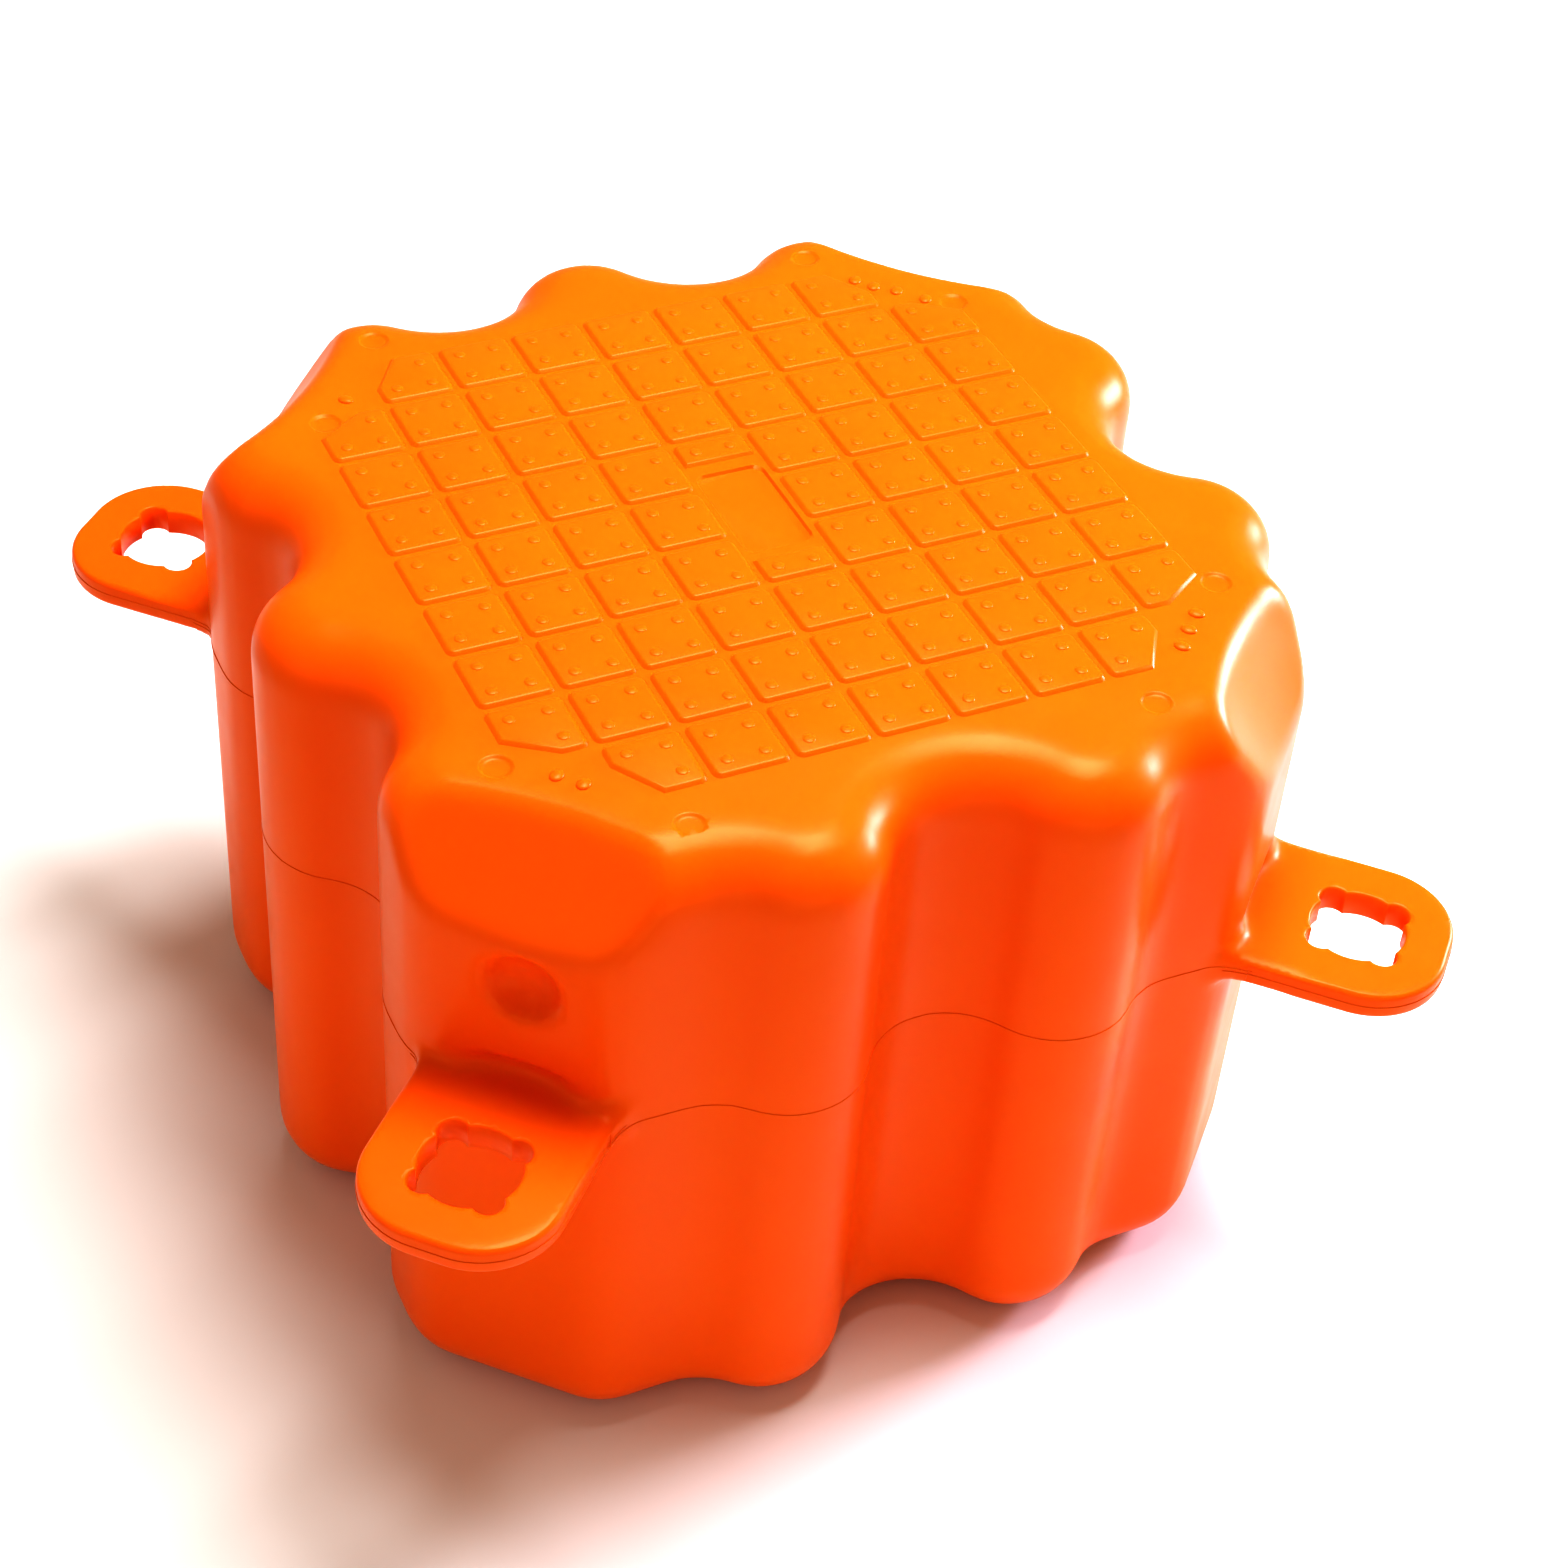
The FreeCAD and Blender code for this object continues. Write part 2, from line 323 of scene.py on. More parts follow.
def add_node(tree: bpy.types.NodeTree, kind: str, settings: dict[str, object],
             links: dict[str, bpy.types.NodeSocket]) -> bpy.types.Node:
    """Adds a node, sets its fields and sockets, and links what feeds it.

    Args:
        tree: the material's node tree.
        kind: the node's type.
        settings: fields of the node, or values of its input sockets, by name.
        links: output sockets of other nodes, by the input socket they feed.

    Returns:
        The new node.
    """
    node = tree.nodes.new(kind)
    for name, value in settings.items():
        if hasattr(node, name):
            setattr(node, name, value)
        else:
            node.inputs[name].default_value = value
    for name, source in links.items():
        tree.links.new(source, node.inputs[name])
    return node


def set_inputs(node: bpy.types.Node, values: dict[str, object]) -> None:
    """Sets constants on a node's own sockets.

    Args:
        node: the node.
        values: the constants, by socket name.
    """
    for name, value in values.items():
        node.inputs[name].default_value = value


@dataclass(frozen=True)
class MouldedPolyethylene:
    """High-density polyethylene, blow-moulded: waxy, semi-gloss and slightly translucent."""

    name: str = "moulded_polyethylene"
    colour: str = "F06C08"
    deep_colour: str = "EE6406"
    cloud_size: float = 90 * MM
    roughness: float = 0.33
    # How much smoother and how much rougher the skin's patches are than that.
    gloss_range: tuple[float, float] = (0.05, 0.07)
    sheen_size: float = 25 * MM
    # Bumps have a size across, a height and a share of it that shows.
    wave_size: float = 34 * MM
    wave_height: float = 1.2 * MM
    wave_strength: float = 0.22
    peel_size: float = 1.6 * MM
    peel_height: float = 0.12 * MM
    peel_strength: float = 0.12
    ior: float = 1.53
    reflection: float = 0.25
    reflection_tint: str = "FFD4A8"
    translucency: float = 0.25
    scatter: tuple[float, float, float] = (1.0, 0.25, 0.05)
    scatter_depth: float = 6 * MM

    def make(self) -> bpy.types.Material:
        """Builds the material.

        Returns:
            The material, on Object coordinates.
        """
        material = bpy.data.materials.new(self.name)
        material.use_nodes = True
        tree = material.node_tree
        shader = tree.nodes["Principled BSDF"]
        place = add_node(tree, "ShaderNodeTexCoord", {}, {}).outputs["Object"]
        # The resin's tint clouds a little where the wall came out thinner or thicker.
        clouds = add_node(tree, "ShaderNodeTexNoise",
                          {"Scale": 1 / self.cloud_size, "Detail": 2.0}, {"Vector": place})
        tint = add_node(tree, "ShaderNodeMixRGB",
                        {"Color1": linear(self.deep_colour), "Color2": linear(self.colour)},
                        {"Fac": clouds.outputs["Fac"]})
        tree.links.new(tint.outputs["Color"], shader.inputs["Base Color"])
        # The mould's blasted skin leaves patches that shine a little more or less.
        sheen = add_node(tree, "ShaderNodeTexNoise",
                         {"Scale": 1 / self.sheen_size, "Detail": 4.0}, {"Vector": place})
        smoother, rougher = self.gloss_range
        gloss = add_node(tree, "ShaderNodeMapRange",
                         {"To Min": self.roughness - smoother, "To Max": self.roughness + rougher},
                         {"Value": sheen.outputs["Fac"]})
        tree.links.new(gloss.outputs["Result"], shader.inputs["Roughness"])
        # Slow waves where the skin shrank in cooling, and a fine orange peel over them.
        waves = add_node(tree, "ShaderNodeTexNoise",
                         {"Scale": 1 / self.wave_size, "Detail": 1.0}, {"Vector": place})
        wavy = add_node(tree, "ShaderNodeBump",
                        {"Strength": self.wave_strength, "Distance": self.wave_height},
                        {"Height": waves.outputs["Fac"]})
        peel = add_node(tree, "ShaderNodeTexNoise",
                        {"Scale": 1 / self.peel_size, "Detail": 2.0}, {"Vector": place})
        grained = add_node(tree, "ShaderNodeBump",
                           {"Strength": self.peel_strength, "Distance": self.peel_height},
                           {"Height": peel.outputs["Fac"], "Normal": wavy.outputs["Normal"]})
        tree.links.new(grained.outputs["Normal"], shader.inputs["Normal"])
        set_inputs(shader, {"IOR": self.ior,
                            "Specular IOR Level": self.reflection,
                            "Specular Tint": linear(self.reflection_tint),
                            "Subsurface Weight": self.translucency,
                            "Subsurface Radius": self.scatter,
                            "Subsurface Scale": self.scatter_depth})
        return material


@dataclass(frozen=True)
class PalePaint:
    """Matt pale paint of the studio floor."""

    name: str = "studio_floor_paint"
    colour: str = "E6E6E6"
    roughness: float = 0.9
    reflection: float = 0.1

    def make(self) -> bpy.types.Material:
        """Builds the material.

        Returns:
            The material.
        """
        material = bpy.data.materials.new(self.name)
        material.use_nodes = True
        set_inputs(material.node_tree.nodes["Principled BSDF"],
                   {"Base Color": linear(self.colour),
                    "Roughness": self.roughness,
                    "Specular IOR Level": self.reflection})
        return material


def dress(piece: bpy.types.Object, material: bpy.types.Material, smooth_angle: float) -> None:
    """Gives a piece its finish, its body and its part in the frame.

    Args:
        piece: the finished piece.
        material: its material.
        smooth_angle: edges sharper than this many degrees stay sharp.
    """
    activate(piece)
    bpy.ops.object.shade_smooth_by_angle(angle=math.radians(smooth_angle))
    piece.data.materials.clear()
    piece.data.materials.append(material)
    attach(piece, "root")
    LOG.info("%s: %d faces", piece.name, len(piece.data.polygons))


@dataclass
class FloatShell:
    """The hollow float with its lugs, softened as a blow-moulded skin is."""

    # The solid's deck, this one's, and the height from which the one is pressed to the other.
    moulded_deck: float = 398 * MM
    deck: float = DECK
    press_from: float = 300 * MM
    # Faces this near the deck's middle and this little under it are the solid's sunk plate.
    plate_room: float = 60 * MM
    plate_room_depth: float = 2 * MM

    # The skin's mesh: the size of its cells and the passes that smooth it. The skin's
    # mesh: as fine as the limit of 200,000 triangles lets it be.
    cell: float = 3.85 * MM
    smoothing: int = 3

    # The lugs in plan, from the pin hole's middle: outward to the tip, inward to the neck.
    lug_top: float = 265 * MM
    lug_thick: float = 16 * MM
    lug_width: float = 103 * MM
    lug_reach: float = 49.5 * MM
    lug_corner: float = 42.5 * MM
    lug_neck: float = 44.5 * MM
    lug_flare: float = 44 * MM
    lug_rim: float = 3.5 * MM
    plug_radius: float = 57 * MM
    wall_clear: float = 47 * MM

    # The pin hole: a round bore with four round lobes, and a small chamfer at both ends.
    bore_radius: float = 25.5 * MM
    key_radius: float = 8 * MM
    key_reach: float = 23.33 * MM
    rim_chamfer: float = 0.9 * MM
    overshoot: float = 2 * MM

    # The blank plate; its foot is a share of its mouth.
    plate_width: float = 41 * MM
    plate_length: float = 73 * MM
    plate_middle: float = -1 * MM
    plate_sink: float = 1.5 * MM
    plate_corner: float = 7 * MM
    plate_foot: tuple[float, float, float] = (0.9, 0.945, 1.0)

    # The recess in the front corner's wall.
    wall_reach: float = 297.05 * MM
    dish_level: float = 313 * MM
    dish_radius: float = 20.5 * MM
    dish_depth: float = 14 * MM
    dish_rim: float = 4 * MM

    # The round marks, with their places in millimetres.
    print_radius: float = 8.4 * MM
    print_depth: float = 1.3 * MM
    print_rim: float = 0.6 * MM
    prints: tuple[tuple[float, float], ...] = (
        (-134, 213), (129, 213), (-184, 146), (190, 142), (197.5, -140.5), (120, -214.5),
        (-129, -215.5), (-198, -146))

    # The flats that are thinned out: eight-sided, with cut corners, and clear of the plate.
    base_flat: float = 200 * MM
    deck_flat: float = 180 * MM
    flat_slant: float = 1.6
    plate_clear: float = 24 * MM

    # The block that trims a lug's rim: its margins past the tip, above and below, and its width.
    trim_margin: float = 25 * MM
    trim_height_margin: float = 3 * MM
    trim_width: float = 150 * MM

    # Sides of the round pieces, and steps of the rounded edges.
    plug_sides: int = 64
    bore_sides: int = 72
    key_sides: int = 32
    dish_sides: int = 56
    print_sides: int = 32
    plate_steps: int = 6
    plan_steps: int = 22
    rim_steps: int = 5

    def lug_place(self, corner: Corner) -> Vector:
        """Finds the middle of a corner's pin hole, at the lug's top.

        Args:
            corner: the corner.

        Returns:
            The point.
        """
        step = corner.value[2]
        return corner.at(self.lug_top - step * self.lug_thick)

    def lug_middle(self, corner: Corner) -> Vector:
        """Finds the middle of a corner's pin hole, halfway down the lug.

        Args:
            corner: the corner.

        Returns:
            The point.
        """
        return self.lug_place(corner) - Vector((0, 0, self.lug_thick / 2))

    def build(self) -> bpy.types.Object:
        """Models the shell from a merged copy of the CAD body.

        Returns:
            The shell.
        """
        shell = copy_of(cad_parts["float_body"], "float_shell", Matrix.Identity(4))
        pick(shell, Pick.POINTS)
        bpy.ops.mesh.remove_doubles(threshold=MERGE)
        leave_edit()
        self.flatten_deck(shell)
        # Discs close the pin holes and fill out the lugs' rims. Both are cut afresh below.
        plugs = [disc(self.lug_middle(corner), self.plug_radius, self.lug_thick,
                      self.plug_sides)
                 for corner in Corner]
        shell = join([shell] + plugs, "float_shell")
        apply_modifier(shell, "REMESH", mode="VOXEL", voxel_size=self.cell, adaptivity=0.0)
        apply_modifier(shell, "SMOOTH", factor=0.5, iterations=self.smoothing)
        combine(shell, self.cutters(), Combine.CUT)
        self.thin_flats(shell)
        return shell

    def flatten_deck(self, shell: bpy.types.Object) -> None:
        """Takes the solid's tiles and plate away, closes the deck again and presses it down.

        Args:
            shell: the merged copy of the CAD body.
        """
        tiles_from = self.moulded_deck - FLAT
        plate_from = self.moulded_deck - self.plate_room_depth

        def is_raised_or_sunk(points: list[Vector]) -> bool:
            lowest = min(p.z for p in points)
            reach = max(max(abs(p.x), abs(p.y)) for p in points)
            return lowest > tiles_from or lowest > plate_from and reach < self.plate_room

        pick(shell, Pick.FACES, is_raised_or_sunk)
        bpy.ops.mesh.delete(type="FACE")
        bpy.ops.mesh.select_mode(type="VERT")
        bpy.ops.mesh.select_all(action="SELECT")
        bpy.ops.mesh.fill_holes(sides=0)
        leave_edit()
        pick(shell, Pick.POINTS, lambda points: points[0].z > self.press_from)
        squeeze = (self.deck - self.press_from) / (self.moulded_deck - self.press_from)
        bpy.ops.transform.resize(value=(1, 1, squeeze), center_override=(0, 0, self.press_from))
        leave_edit()

    def prism(self, radius: float, sides: int, place: Vector) -> bpy.types.Object:
        """Models an upright cutter with flared ends, which leave a small chamfer.

        Args:
            radius: its radius.
            sides: the number of its sides.
            place: its middle, halfway down the lug that it goes through.

        Returns:
            The cutter.
        """
        straight = self.lug_thick - 2 * self.rim_chamfer
        prism = disc(place, radius, straight, sides)
        for way in (1, -1):
            pick(prism, Pick.FACES,
                 lambda points: all((p.z - place.z) * way > straight / 4 for p in points))
            for rise, flare in ((self.rim_chamfer, self.rim_chamfer), (self.overshoot, 0.0)):
                bpy.ops.mesh.extrude_region_move(
                    TRANSFORM_OT_translate={"value": (0, 0, way * rise)})
                share = 1 + flare / radius
                bpy.ops.transform.resize(value=(share, share, 1), center_override=place)
            leave_edit()
        return prism

    def dish(self, shape: Hollow, radius: float, depth: float, rim: float,
             sides: int) -> bpy.types.Object:
        """Models a round dished cutter by spinning half its outline about Z.

        Args:
            shape: the dish's outline.
            radius: the dish's radius at the surface.
            depth: its depth.
            rim: the width of the soft rim round it.
            sides: the number of its sides.

        Returns:
            The cutter, with the surface that it sinks at z = 0.
        """
        steps = [(share * radius, 0, -deep * depth) for share, deep in shape.value]
        # The rim eases out to the surface, and the cutter stands half its depth above it.
        edge, above = radius + rim, 0.5 * depth
        steps += [(radius + rim * 0.3, 0, -0.04 * depth), (edge, 0, 0.01 * depth),
                  (edge, 0, above), (0, 0, above)]
        mesh = bpy.data.meshes.new("dish")
        mesh.from_pydata(steps, [(i, i + 1) for i in range(len(steps) - 1)], [])
        dish = bpy.data.objects.new("dish", mesh)
        bpy.context.scene.collection.objects.link(dish)
        pick(dish, Pick.POINTS)
        bpy.ops.mesh.spin(steps=sides, angle=math.tau, center=(0, 0, 0), axis=(0, 0, 1))
        bpy.ops.mesh.select_all(action="SELECT")
        bpy.ops.mesh.remove_doubles(threshold=MERGE)
        bpy.ops.mesh.normals_make_consistent(inside=False)
        leave_edit()
        return dish

    def cutters(self) -> bpy.types.Object:
        """Models what opens the pin holes and sinks the plate, the recess and the marks.

        Returns:
            One object with all of them.
        """
        parts = [self.pin_hole(corner) for corner in Corner]
        parts.append(self.plate())
        trim = self.lug_trim()
        for corner in Corner:
            around = Matrix.Rotation(math.atan2(corner.value[1], corner.value[0]), 4, "Z")
            place = Matrix.Translation(self.lug_place(corner))
            parts.append(copy_of(trim, "trim", place @ around))
        discard(trim)
        parts.append(self.recess())
        stamp = self.dish(Hollow.SAUCER, self.print_radius, self.print_depth, self.print_rim,
                          self.print_sides)
        for x, y in self.prints:
            place = Matrix.Translation(Vector((x * MM, y * MM, self.deck)))
            parts.append(copy_of(stamp, "stamp", place))
        discard(stamp)
        return join(parts, "cutters")

    def pin_hole(self, corner: Corner) -> bpy.types.Object:
        """Models what opens one lug's pin hole.

        Args:
            corner: the lug's corner.

        Returns:
            The cutter.
        """
        middle = self.lug_middle(corner)
        bore = self.prism(self.bore_radius, self.bore_sides, middle)
        for x, y in ((1, 0), (0, 1), (-1, 0), (0, -1)):
            offset = Vector((x * self.key_reach, y * self.key_reach, 0))
            key = self.prism(self.key_radius, self.key_sides, middle + offset)
            combine(bore, key, Combine.ADD)
        return bore

    def plate(self) -> bpy.types.Object:
        """Models what sinks the blank plate, with rounded corners and sloped sides.

        Returns:
            The cutter.
        """
        plate = block((0, self.plate_middle, self.deck),
                      (self.plate_width, self.plate_length, 2 * self.plate_sink))
        pick(plate, Pick.EDGES, is_upright)
        bpy.ops.mesh.bevel(offset=self.plate_corner, segments=self.plate_steps)
        leave_edit()
        pick(plate, Pick.POINTS, lambda points: points[0].z < self.deck)
        bpy.ops.transform.resize(value=self.plate_foot)
        leave_edit()
        return plate

    def recess(self) -> bpy.types.Object:
        """Models what sinks the recess in the front corner's wall.

        Returns:
            The cutter.
        """
        recess = self.dish(Hollow.BOWL, self.dish_radius, self.dish_depth, self.dish_rim,
                           self.dish_sides)
        outward = Corner.FRONT.at(0).normalized()
        place = Matrix.Translation(outward * self.wall_reach + Vector((0, 0, self.dish_level)))
        recess.data.transform(place @ outward.to_track_quat("Z", "Y").to_matrix().to_4x4())
        return recess

    def lug_trim(self) -> bpy.types.Object:
        """Models what trims a lug's rim to an even rounding, about the hole's top with x outward.

        Returns:
            The cutter, a block with a rounded lug taken out of it.
        """
        # The lug taken out is a little thicker than the real one, whose faces stay whole,
        # and runs far inward and sideways, out of the block.
        slack, loose = 0.1 * MM, 1 * MM
        far, wide = -150 * MM, 240 * MM
        half = self.lug_width / 2
        bend = -self.lug_neck - self.lug_flare
        level, height = -self.lug_thick / 2, self.lug_thick + 2 * slack
        lug = block(((self.lug_reach + far) / 2, 0, level),
                    (self.lug_reach - far, self.lug_width, height))
        root = block(((bend + far) / 2, 0, level), (bend - far, wide, height))
        combine(lug, root, Combine.ADD)
        pick(lug, Pick.POINTS)
        bpy.ops.mesh.dissolve_limited(angle_limit=math.radians(1))
        leave_edit()
        for place, radius in ((bend, self.lug_flare), (self.lug_reach, self.lug_corner)):
            pick(lug, Pick.EDGES, lambda points: is_upright(points)
                 and abs(points[0].x - place) < loose and abs(points[0].y) < half + loose)
            bpy.ops.mesh.bevel(offset=radius, segments=self.plan_steps)
            leave_edit()
        pick(lug, Pick.EDGES, lambda points: abs(points[0].z - points[1].z) < NEAR)
        bpy.ops.mesh.bevel(offset=self.lug_rim, segments=self.rim_steps)
        leave_edit()
        outer = self.lug_reach + self.trim_margin
        trim = block(((outer - self.wall_clear) / 2, 0, level),
                     (outer + self.wall_clear, self.trim_width,
                      height + 2 * self.trim_height_margin))
        combine(trim, lug, Combine.CUT)
        return trim

    def thin_flats(self, shell: bpy.types.Object) -> None:
        """Dissolves the dense mesh of the flat base and of the deck under the tiles.

        The deck is done on either side of the plate, which no single face could go round.

        Args:
            shell: the finished shell.
        """
        self.dissolve_flat(shell, 0.0, self.base_flat, lambda point: True)
        self.dissolve_flat(shell, self.deck, self.deck_flat,
                           lambda point: point.x > self.plate_clear)
        self.dissolve_flat(shell, self.deck, self.deck_flat,
                           lambda point: point.x < -self.plate_clear)

    def dissolve_flat(self, shell: bpy.types.Object, level: float, reach: float,
                      keep: Callable[[Vector], bool]) -> None:
        """Dissolves a flat region of the mesh into one face.

        Args:
            shell: the finished shell.
            level: the region's height.
            reach: how far it goes from the middle along X and Y.
            keep: a further test on its points.
        """
        pick(shell, Pick.FACES, lambda points: all(
            abs(p.z - level) < FLAT and max(abs(p.x), abs(p.y)) < reach
            and abs(p.x) + abs(p.y) < self.flat_slant * reach and keep(p) for p in points))
        bpy.ops.mesh.dissolve_faces()
        leave_edit()


@dataclass
class DeckTiles:
    """The raised field of anti-slip tiles, each with up to four low bumps."""

    deck: float = DECK
    top: float = 399.3 * MM
    crown: float = 399.98 * MM
    sunk: float = 0.6 * MM
    rows: int = 9
    pitch: float = 42.8 * MM
    foot_side: float = 40.2 * MM
    slope: float = 1.9 * MM
    corner_radius: float = 4.5 * MM
    edge_radius: float = 0.7 * MM
    bump_radius: float = 3.3 * MM
    bump_offset: float = 10 * MM
    bump_sunk: float = 0.1 * MM
    trim_along: float = 19 * MM
    trim_across: float = 14 * MM
    # How far from the deck's middle the two tiles at the plate begin.
    half_from: float = 43 * MM
    # Steps of the rounded corners and edges, and a bump's segments and rings.
    corner_steps: int = 5
    edge_steps: int = 2
    bump_detail: tuple[int, int] = (14, 10)

    def tile(self, cuts: list[tuple[Vector, Vector]]) -> bpy.types.Object:
        """Models one tile at the middle of the deck.

        Args:
            cuts: upright planes that trim its outline, each as a point and the normal of
                what goes.

        Returns:
            The tile with its bumps.
        """
        edge = self.foot_side / 2 - NEAR
        tile = block((0, 0, self.deck - self.sunk / 2),
                     (self.foot_side, self.foot_side, self.sunk))
        for place, normal in cuts:
            slice_off(tile, place, normal)
        pick(tile, Pick.EDGES, lambda points: is_upright(points)
             and abs(points[0].x) > edge and abs(points[0].y) > edge)
        bpy.ops.mesh.bevel(offset=self.corner_radius, segments=self.corner_steps)
        leave_edit()
        pick(tile, Pick.FACES, lambda points: all(p.z > self.deck - NEAR for p in points))
        bpy.ops.mesh.inset(thickness=self.slope, depth=self.top - self.deck)
        leave_edit()
        pick(tile, Pick.EDGES, lambda points: all(p.z > self.top - MERGE for p in points))
        bpy.ops.mesh.bevel(offset=self.edge_radius, segments=self.edge_steps)
        leave_edit()
        bumps = []
        for x, y in ((1, 1), (-1, 1), (-1, -1), (1, -1)):
            spot = Vector((x * self.bump_offset, y * self.bump_offset, 0))
            if all((spot - place).dot(normal) < -self.bump_radius for place, normal in cuts):
                bumps.append(self.bump(spot))
        return join([tile] + bumps, "tile")

    def bump(self, spot: Vector) -> bpy.types.Object:
        """Models one low round bump on a tile.

        Args:
            spot: its place in plan, from the tile's middle.

        Returns:
            The bump.
        """
        height = self.crown - self.top + self.bump_sunk
        middle = spot + Vector((0, 0, self.top - self.bump_sunk))
        return dome(middle, self.bump_radius, (1, 1, height / self.bump_radius),
                    self.bump_sunk, self.bump_detail)

    def corner_cut(self, column: int, row: int) -> tuple[Vector, Vector]:
        """Works out the slanted plane that trims a tile beside a missing corner tile.

        Args:
            column: the tile's place along X from the middle.
            row: its place along Y from the middle.

        Returns:
            A point on the plane, from the tile's middle, and the normal of what goes.
        """
        middle = (self.rows - 1) // 2
        inner, edge = (middle - 0.5) * self.pitch, (middle + 0.5) * self.pitch
        here = Vector((inner - self.trim_along, edge, 0))
        slant = (Vector((inner, inner + self.trim_across, 0)) - here).normalized()
        normal = Vector((-slant.y, slant.x, 0))
        if column == middle:
            here, normal = here.yxz, normal.yxz
        return here - Vector((column * self.pitch, row * self.pitch, 0)), normal

    def build(self) -> bpy.types.Object:
        """Lays the whole field, with trimmed tiles at the corners and round the plate.

        Returns:
            The field as one object.
        """
        middle = (self.rows - 1) // 2
        whole = self.tile([])
        trimmed = {place: self.tile([self.corner_cut(*place)])
                   for place in ((middle - 1, middle), (middle, middle - 1))}
        half_edge = self.half_from - self.pitch
        halves = {side: self.tile([(Vector((0, side * half_edge, 0)), Vector((0, -side, 0)))])
                  for side in (1, -1)}
        field = []
        for column in range(-middle, middle + 1):
            for row in range(-middle, middle + 1):
                if abs(column) == abs(row) == middle or column == row == 0:
                    continue
                model, turn = whole, Matrix.Identity(4)
                if abs(column) + abs(row) == 2 * middle - 1:
                    # One trimmed pair serves all four corners, turned by quarters.
                    signs = (int(math.copysign(1, column)), int(math.copysign(1, row)))
                    quarters = [(1, 1), (-1, 1), (-1, -1), (1, -1)].index(signs)
                    turn = Matrix.Rotation(quarters * math.pi / 2, 4, "Z")
                    place = (abs(column), abs(row))
                    model = trimmed[place[::-1] if quarters % 2 else place]
                elif column == 0 and abs(row) == 1:
                    model = halves[row]
                shift = Matrix.Translation(Vector((column * self.pitch, row * self.pitch, 0)))
                field.append(copy_of(model, "tile", shift @ turn))
        for model in (whole, *trimmed.values(), *halves.values()):
            discard(model)
        return join(field, "deck_tiles")


@dataclass
class LevelPips:
    """One to four raised pips beside each scoop, which tell the lug's level."""

    deck: float = DECK
    radius: float = 4 * MM
    # The shares of the radius along and across the line from the deck's middle.
    stretch: tuple[float, float] = (1.1, 0.9)
    rise: float = 1.6 * MM
    foot: float = 0.4 * MM
    detail: tuple[int, int] = (20, 12)
    # The pips' places in millimetres.
    places: tuple[tuple[float, float], ...] = (
        (-167, 163), (-174, -162), (-164.5, -172), (174.5, -160), (164, -170), (154, -180.5),
        (146, 181), (153.5, 171.5), (164, 163), (176, 149.5))

    def build(self) -> bpy.types.Object:
        """Models one pip as a low dome and copies it to each place.

        Returns:
            The pips as one object.
        """
        pip = dome(Vector((0, 0, self.deck)), self.radius,
                   (*self.stretch, self.rise / self.radius), self.foot, self.detail)
        pips = []
        for x, y in self.places:
            turn = Matrix.Rotation(math.atan2(y, x), 4, "Z")
            place = Matrix.Translation(Vector((x * MM, y * MM, 0)))
            pips.append(copy_of(pip, "pip", place @ turn))
        discard(pip)
        return join(pips, "level_pips")


@dataclass
class PartingLine:
    """The fine raised line where the two halves of the mould met."""

    # The heights of the lugs' middles, in the order of the corners.
    levels: tuple[float, float, float, float] = (257 * MM, 241 * MM, 225 * MM, 209 * MM)
    width: float = 0.42 * MM
    # A wall's stretch lies beyond side_from and within side_reach to either side, and a
    # lug's lies beyond lug_from and outside its pin hole.
    side_from: float = 200 * MM
    side_reach: float = 205 * MM
    lug_from: float = 292 * MM
    hole_clear: float = 33 * MM

    def section(self, shell: bpy.types.Object, place: Vector, normal: Vector,
                keep: Callable[[Vector], bool]) -> bpy.types.Object:
        """Cuts the shell's outline with a plane and keeps one stretch as a fine round bead.

        Args:
            shell: the finished shell.
            place: a point on the plane.
            normal: the plane's normal.
            keep: a test on a point of the outline.

        Returns:
            The bead.
        """
        bead = copy_of(shell, "bead", Matrix.Identity(4))
        pick(bead, Pick.POINTS)
        bpy.ops.mesh.bisect(plane_co=place, plane_no=normal, clear_inner=True, clear_outer=True)
        leave_edit()
        pick(bead, Pick.POINTS, lambda points: not keep(points[0]))
        bpy.ops.mesh.delete(type="VERT")
        leave_edit()
        bpy.ops.object.convert(target="CURVE")
        bead = bpy.context.object
        bead.data.bevel_depth = self.width
        bead.data.bevel_resolution = 1
        bead.data.use_fill_caps = True
        bpy.ops.object.convert(target="MESH")
        return bpy.context.object

    def build(self, shell: bpy.types.Object) -> bpy.types.Object:
        """Runs the line along the four walls, sloping from lug to lug, and round each lug.

        Args:
            shell: the finished shell.

        Returns:
            The line as one object.
        """
        lugs = [corner.at(level) for corner, level in zip(Corner, self.levels)]
        beads = []
        for here, there in zip(lugs, lugs[1:] + lugs[:1]):
            along = there - here
            side = along.xy.normalized()
            outward = Vector((here.x + there.x, here.y + there.y, 0)).normalized()
            diagonal = here.xy.normalized()
            beads.append(self.section(shell, here, along.cross(outward), lambda point: (
                point.dot(outward) > self.side_from
                and abs(point.xy.dot(side)) < self.side_reach)))
            beads.append(self.section(shell, here, Vector((0, 0, 1)), lambda point: (
                point.xy.dot(diagonal) > self.lug_from
                and (point - here).xy.length > self.hole_clear)))
        return join(beads, "parting_line")


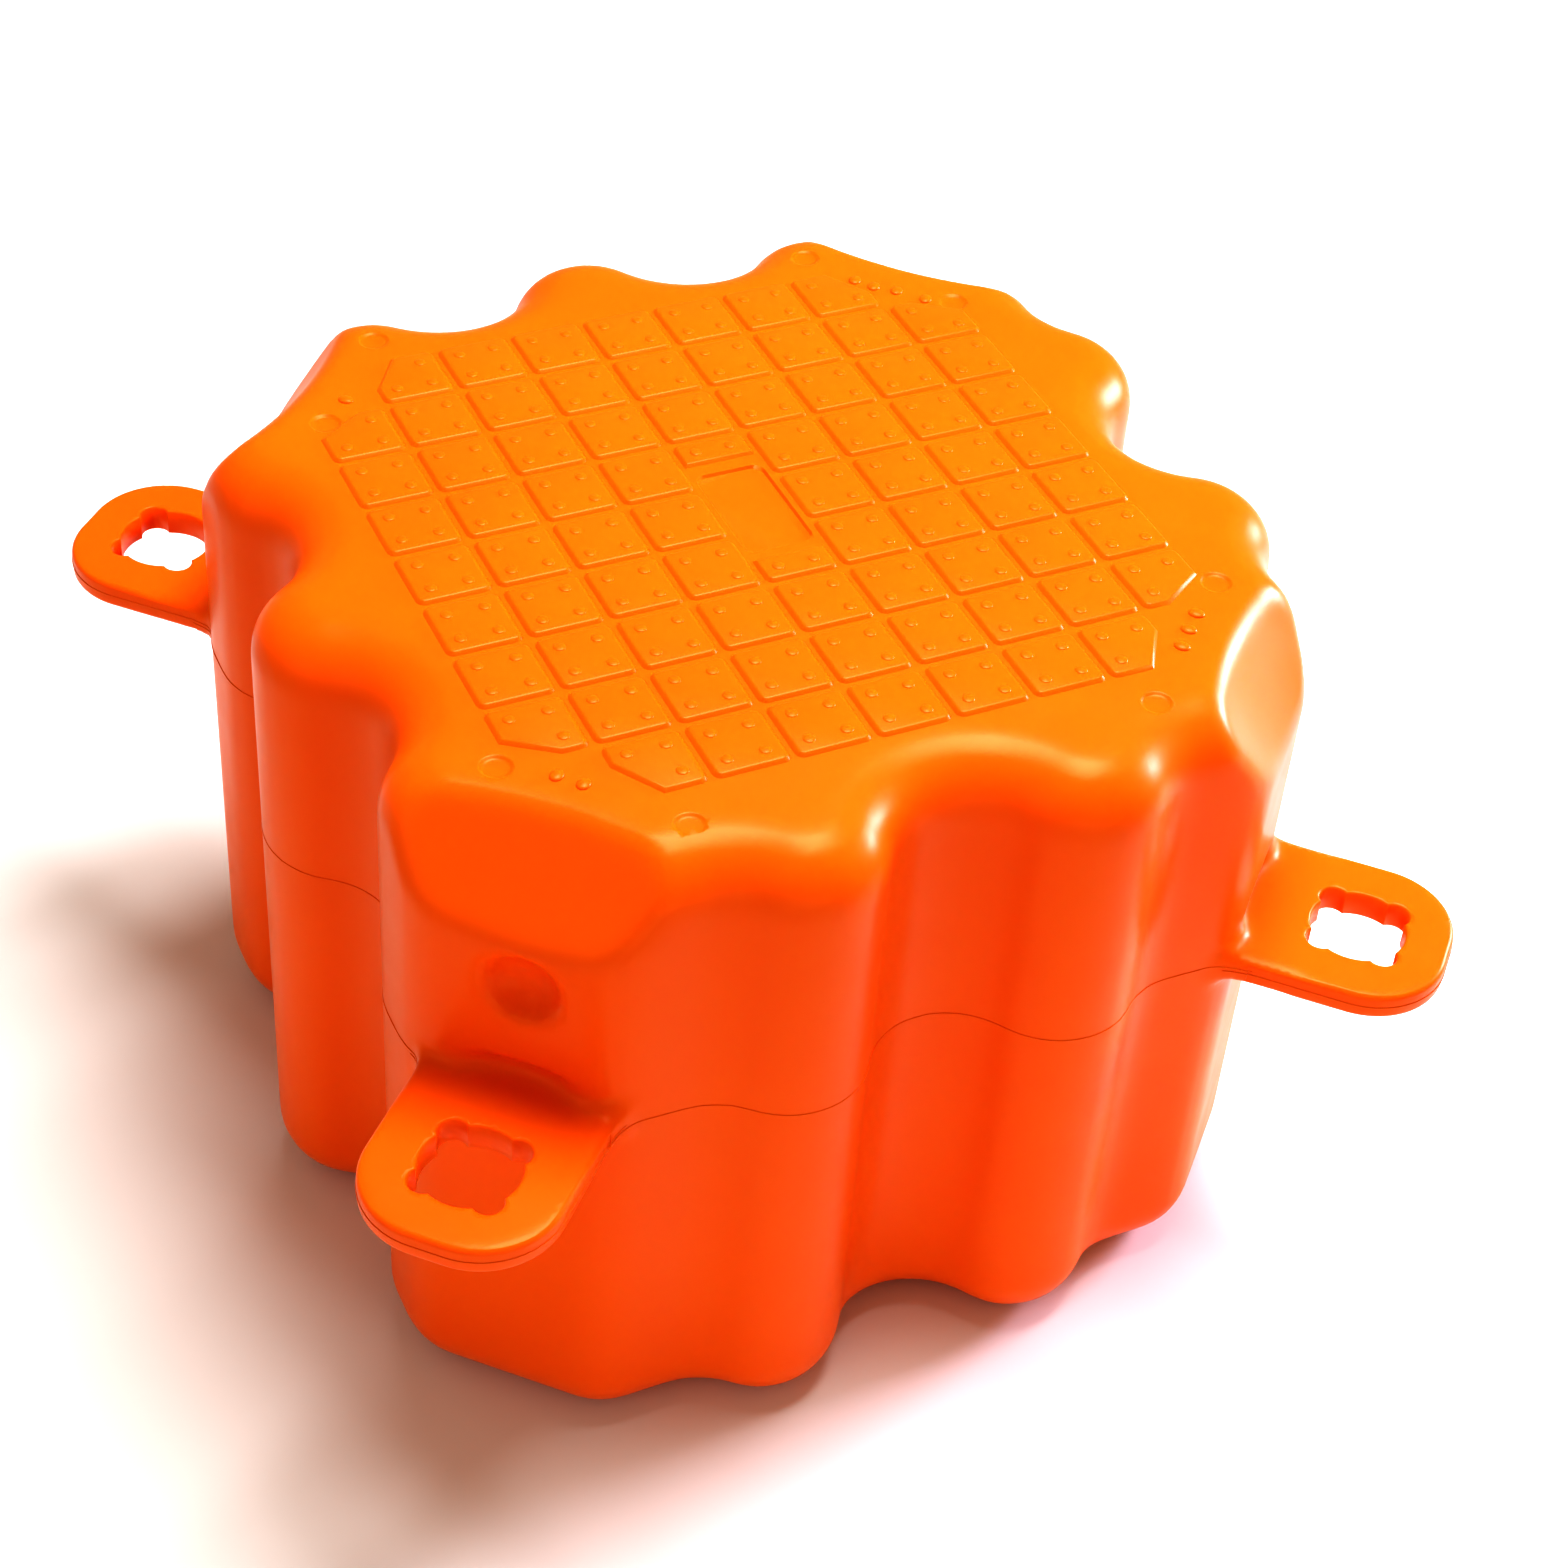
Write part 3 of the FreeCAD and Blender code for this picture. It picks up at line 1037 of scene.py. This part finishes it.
@dataclass(frozen=True)
class Softbox:
    """A rectangular lamp, with its power in watts and an sRGB hex colour."""

    name: str
    place: tuple[float, float, float]
    size: tuple[float, float]
    power: float
    colour: str = "FFFFFF"

    def hang(self, target: Vector) -> None:
        """Hangs the lamp so that it faces the object.

        Args:
            target: the point that it faces.
        """
        data = bpy.data.lights.new(self.name, "AREA")
        data.shape = "RECTANGLE"
        data.size, data.size_y = self.size
        data.energy = self.power
        data.color = linear(self.colour)[:3]
        lamp = bpy.data.objects.new(self.name, data)
        bpy.context.scene.collection.objects.link(lamp)
        lamp.location = self.place
        aim = target - Vector(self.place)
        lamp.rotation_euler = aim.to_track_quat("-Z", "Y").to_euler()


@dataclass
class Studio:
    """Pale floor, soft light and the camera at the photograph's angle."""

    floor_size: float = 12.0
    floor_level: float = -0.2 * MM
    softboxes: tuple[Softbox, ...] = (
        Softbox("overhead_softbox", (0.35, 0.12, 2.1), (0.95, 0.95), 43),
        Softbox("side_softbox", (1.56, -0.03, 0.65), (0.5, 0.45), 25, "EEE0FF"),
        Softbox("left_softbox", (-2.4, -0.9, 1.1), (1.6, 1.2), 4),
        Softbox("front_softbox", (-0.6, -2.4, 0.26), (2.0, 0.3), 4))
    sky_colour: str = "FFE6CB"
    sky_strength: float = 0.3
    # The camera was fitted to the photograph: its angles are in degrees, and its focal
    # length is in pixels of a picture that is this many pixels wide.
    target: tuple[float, float, float] = (0.0, 0.0, 0.2)
    azimuth: float = -27.849
    elevation: float = 41.102
    roll: float = 4.749
    aside: float = 28.262 * MM
    above: float = 3.745 * MM
    distance: float = 1744.04 * MM
    focal_pixels: float = 3097.8
    picture: float = 1568.0
    sensor: float = 36.0

    def camera(self) -> None:
        """Sets the camera where the photograph was taken from."""
        around, climb = math.radians(self.azimuth), math.radians(self.elevation)
        back = Vector((math.sin(around) * math.cos(climb), -math.cos(around) * math.cos(climb),
                       math.sin(climb)))
        level = Vector((math.cos(around), math.sin(around), 0))
        upright = back.cross(level)
        tilt = math.radians(self.roll)
        right = level * math.cos(tilt) + upright * math.sin(tilt)
        up = upright * math.cos(tilt) - level * math.sin(tilt)
        data = bpy.data.cameras.new("camera")
        data.sensor_width = self.sensor
        data.lens = self.focal_pixels / self.picture * self.sensor
        camera = bpy.data.objects.new("camera", data)
        bpy.context.scene.collection.objects.link(camera)
        place = (Vector(self.target) + back * self.distance + right * self.aside
                 + up * self.above)
        turn = Matrix((right, up, back)).transposed().to_4x4()
        camera.matrix_world = Matrix.Translation(place) @ turn
        bpy.context.scene.camera = camera

    def build(self) -> None:
        """Makes the floor, the lamps, the sky light and the camera.

        The picture is shown with a firm contrast, as the photograph is.
        """
        bpy.ops.mesh.primitive_plane_add(size=self.floor_size, location=(0, 0, self.floor_level))
        floor = bpy.context.object
        floor.name = "floor"
        floor.data.materials.append(PalePaint().make())
        for softbox in self.softboxes:
            softbox.hang(Vector(self.target))
        scene = bpy.context.scene
        world = bpy.data.worlds.new("sky")
        world.use_nodes = True
        set_inputs(world.node_tree.nodes["Background"],
                   {"Color": linear(self.sky_colour), "Strength": self.sky_strength})
        scene.world = world
        scene.view_settings.view_transform = "Standard"
        scene.view_settings.look = "Very High Contrast"
        self.camera()


def main() -> None:
    """Builds the studio and the float, and reports each piece."""
    logging.basicConfig(level=logging.INFO, format="%(message)s")
    Studio().build()
    plastic = MouldedPolyethylene().make()
    shell = FloatShell().build()
    dress(shell, plastic, smooth_angle=50)
    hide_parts("float_body")
    dress(DeckTiles().build(), plastic, smooth_angle=35)
    dress(LevelPips().build(), plastic, smooth_angle=50)
    dress(PartingLine().build(shell), plastic, smooth_angle=60)


if __name__ == "__main__":
    main()
